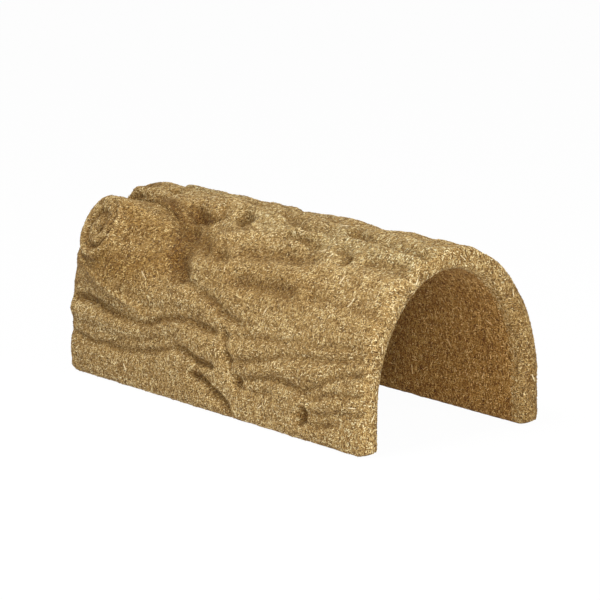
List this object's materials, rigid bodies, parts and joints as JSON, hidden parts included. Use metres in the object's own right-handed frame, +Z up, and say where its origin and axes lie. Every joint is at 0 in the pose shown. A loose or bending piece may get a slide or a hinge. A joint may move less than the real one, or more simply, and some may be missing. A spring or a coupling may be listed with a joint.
{
  "type": "edible hay hideout",
  "caption": "Half-log tunnel of pressed chopped hay with bark relief and a sawn branch stub, for a small pet to hide in and chew.",
  "frame": {"origin": "on the floor, in the middle of the tunnel", "axes": "+X along the tunnel away from the branch stub, -Y towards the side with the stub, +Z up"},
  "size_m": [0.2516, 0.1197, 0.0989],
  "materials": {
    "pressed_hay": "rough pressed chopped hay",
    "stub_hay": "rough pressed chopped hay",
    "bark_straw": "dry straw",
    "rim_straw": "dry straw",
    "tunnel_straw": "dry straw"
  },
  "bodies": {
    "root": {"log_shell": "pressed_hay", "branch_stub": "stub_hay", "bark_stalks": "bark_straw", "rim_stalks": "rim_straw", "tunnel_stalks": "tunnel_straw"}
  },
  "joints": []
}
